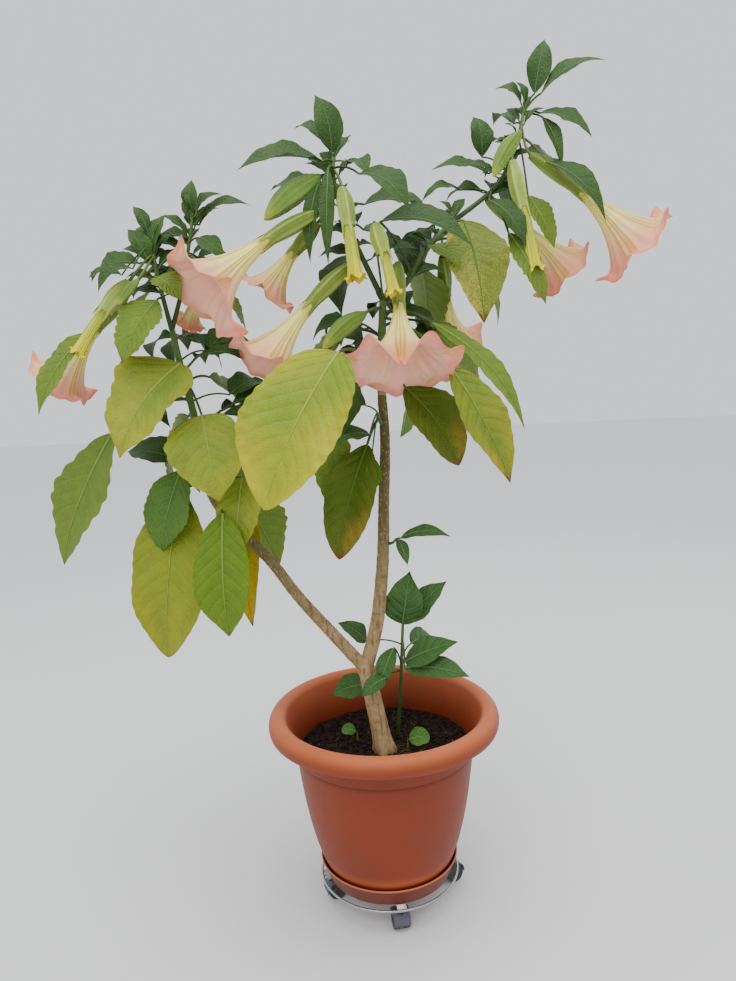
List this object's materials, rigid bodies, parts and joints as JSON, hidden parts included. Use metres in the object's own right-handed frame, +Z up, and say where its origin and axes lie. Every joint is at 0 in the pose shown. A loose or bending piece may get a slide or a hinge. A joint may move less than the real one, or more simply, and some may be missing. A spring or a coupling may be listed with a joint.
{
  "type": "potted angel trumpet",
  "caption": "Young forked shrub with large drooping leaves and hanging trumpet blooms, in a rolled-rim plastic pot on a saucer and a wire ring trolley with swivel casters.",
  "frame": {"origin": "on the floor, under the middle of the whole object's bounding box; the pot's axis stands at x = 15.2 mm, y = -4.4 mm", "axes": "+Z up; -Y towards the viewer of the picture; +X to the viewer's right"},
  "size_m": [0.9948, 0.5272, 1.458],
  "materials": {
    "pot_plastic": "satin",
    "saucer_plastic": "satin",
    "moist_soil": "rough",
    "ring_wire": "satin",
    "caster_plastic": "satin",
    "bark": "rough",
    "foliage": "satin"
  },
  "bodies": {
    "planter": {"pot": "pot_plastic", "soil": "moist_soil", "saucer": "saucer_plastic", "ring_trolley": "ring_wire", "trunk": "bark", "bough_left": "bark", "upright_stem": "bark", "foliage_left": "foliage", "foliage_left_outer": "foliage", "foliage_left_inner": "foliage", "foliage_middle": "foliage", "foliage_top_left": "foliage", "foliage_right": "foliage", "foliage_right_tip": "foliage", "foliage_stem": "foliage", "foliage_stem_low": "foliage", "shoot_foot": "foliage", "sprout_right": "foliage", "sprout_left": "foliage"},
    "hood_1": {"caster_1": "caster_plastic"},
    "hood_2": {"caster_2": "caster_plastic"},
    "hood_3": {"caster_3": "caster_plastic"},
    "hood_4": {"caster_4": "caster_plastic"},
    "wheel_pair_1": {"wheels_1": "caster_plastic"},
    "wheel_pair_2": {"wheels_2": "caster_plastic"},
    "wheel_pair_3": {"wheels_3": "caster_plastic"},
    "wheel_pair_4": {"wheels_4": "caster_plastic"}
  },
  "joints": [
    {"name": "swivel_1", "type": "hinge", "parent": "planter", "child": "hood_1", "pos_m": [0.03019, -0.11134, 0.04], "axis": [0, 0, 1], "continuous": true},
    {"name": "swivel_2", "type": "hinge", "parent": "planter", "child": "hood_2", "pos_m": [0.12211, 0.01064, 0.04], "axis": [0, 0, 1], "continuous": true},
    {"name": "swivel_3", "type": "hinge", "parent": "planter", "child": "hood_3", "pos_m": [0.00013, 0.10256, 0.04], "axis": [0, 0, 1], "continuous": true},
    {"name": "swivel_4", "type": "hinge", "parent": "planter", "child": "hood_4", "pos_m": [-0.09179, -0.01942, 0.04], "axis": [0, 0, 1], "continuous": true},
    {"name": "roll_1", "type": "hinge", "parent": "hood_1", "child": "wheel_pair_1", "pos_m": [0.02863, -0.10247, 0.016], "axis": [-0.9848, -0.1736, 0], "continuous": true},
    {"name": "roll_2", "type": "hinge", "parent": "hood_2", "child": "wheel_pair_2", "pos_m": [0.12948, 0.0158, 0.016], "axis": [-0.5736, 0.8192, 0], "continuous": true},
    {"name": "roll_3", "type": "hinge", "parent": "hood_3", "child": "wheel_pair_3", "pos_m": [0.00463, 0.09477, 0.016], "axis": [0.866, 0.5, 0], "continuous": true},
    {"name": "roll_4", "type": "hinge", "parent": "hood_4", "child": "wheel_pair_4", "pos_m": [-0.08333, -0.01634, 0.016], "axis": [-0.342, 0.9397, 0], "continuous": true}
  ]
}
